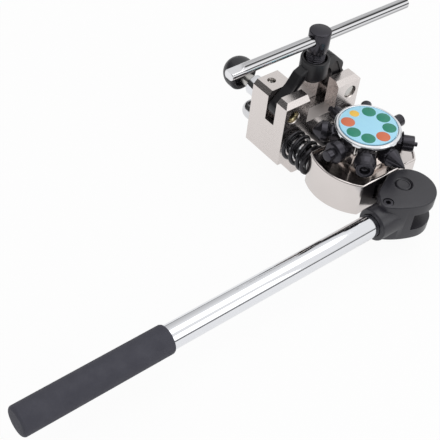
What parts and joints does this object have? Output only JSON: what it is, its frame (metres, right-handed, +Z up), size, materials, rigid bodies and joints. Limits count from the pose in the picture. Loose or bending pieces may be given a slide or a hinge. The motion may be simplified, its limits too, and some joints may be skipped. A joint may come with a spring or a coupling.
{
  "type": "vise-held turret flaring tool",
  "caption": "Tube flaring tool for a bench vise: nickel clamp block with a swinging screw yoke, sliding round carriage with a turret of punches, and a long cam lever with a rubber grip.",
  "frame": {"origin": "middle of the flat underside of the vise tongue", "axes": "+X from the clamp block towards the lever, +Y away from the handle's grip, +Z up out of the vise"},
  "size_m": [0.2117, 0.4553, 0.1308],
  "materials": {
    "satin_nickel": "satin nickel plate",
    "bright_chrome": "polished",
    "ground_steel": "ground",
    "brass": "machined",
    "black_oxide": "black oxide, oiled",
    "black_spring_steel": "black oxide",
    "black_cast_iron": "blackened, rough",
    "rubber_grip": "matte",
    "black_knob_plastic": "matte",
    "dial_label": "printed face, light blue"
  },
  "bodies": {
    "block": {"clamp_block": "satin_nickel", "draw_bar": "ground_steel", "draw_bar_washer": "ground_steel", "draw_bar_nut": "ground_steel", "yoke_pivot_pin": "ground_steel", "lock_pin_bush": "ground_steel", "lock_pin_seat": "brass", "lock_drag_plug": "brass", "lock_drag_screw": "ground_steel", "return_spring_near": "black_spring_steel", "return_spring_far": "black_spring_steel"},
    "carriage": {"turret_base": "satin_nickel", "guide_rod_near": "bright_chrome", "guide_rod_far": "bright_chrome", "turret_spindle": "ground_steel", "index_ball": "ground_steel", "index_spring": "ground_steel"},
    "turret": {"turret_body": "satin_nickel", "dial_bezel": "bright_chrome", "dial_label": "dial_label", "punch_1": "black_oxide", "punch_2": "black_oxide", "punch_3": "black_oxide", "punch_4": "black_oxide", "punch_5": "black_oxide", "punch_6": "black_oxide", "punch_7": "black_oxide", "punch_8": "black_oxide"},
    "lever": {"lever_head": "black_cast_iron", "lever_pivot_pin": "black_oxide", "handle_tube": "bright_chrome", "handle_set_screw": "black_oxide", "handle_grip": "rubber_grip"},
    "yoke": {"yoke": "black_cast_iron"},
    "foot": {"pressure_foot": "ground_steel"},
    "screw": {"clamp_screw": "black_oxide"},
    "cross_bar": {"tee_bar": "bright_chrome"},
    "lock": {"lock_pin": "ground_steel", "lock_knob": "black_knob_plastic"}
  },
  "joints": [
    {"name": "lever_swing", "type": "hinge", "parent": "block", "child": "lever", "pos_m": [0.1204, 0, 0.0366], "axis": [0, 0, 1], "range_deg": [0, 100]},
    {"name": "carriage_slide", "type": "slide", "parent": "block", "child": "carriage", "axis": [-1, 0, 0], "range_m": [0, 0.0093], "stiffness_N_per_m": 5000, "deforming": ["return_spring_near", "return_spring_far"]},
    {"name": "turret_turn", "type": "hinge", "parent": "carriage", "child": "turret", "pos_m": [0.0727, 0, 0.0685], "axis": [0, 0, 1], "continuous": true},
    {"name": "yoke_swing", "type": "hinge", "parent": "block", "child": "yoke", "pos_m": [0.0035, 0.032, 0.0665], "axis": [-1, 0, 0], "range_deg": [0, 105]},
    {"name": "screw_feed", "type": "slide", "parent": "yoke", "child": "foot", "axis": [0, 0, -1], "range_m": [0, 0.012]},
    {"name": "screw_turn", "type": "hinge", "parent": "foot", "child": "screw", "pos_m": [0.0035, 0, 0.1], "axis": [0, 0, -1], "range_deg": [0, 2160]},
    {"name": "tee_bar_slide", "type": "slide", "parent": "screw", "child": "cross_bar", "axis": [0, 1, 0], "range_m": [-0.07, 0.07]},
    {"name": "lock_pin_slide", "type": "slide", "parent": "block", "child": "lock", "axis": [1, 0, 0], "range_m": [0, 0.0165]}
  ],
  "couplings": [
    {"joint": "carriage_slide", "follows": "lever_swing", "m_per_rad": 0.0053},
    {"joint": "screw_feed", "follows": "screw_turn", "m_per_rad": 0.0003183}
  ]
}
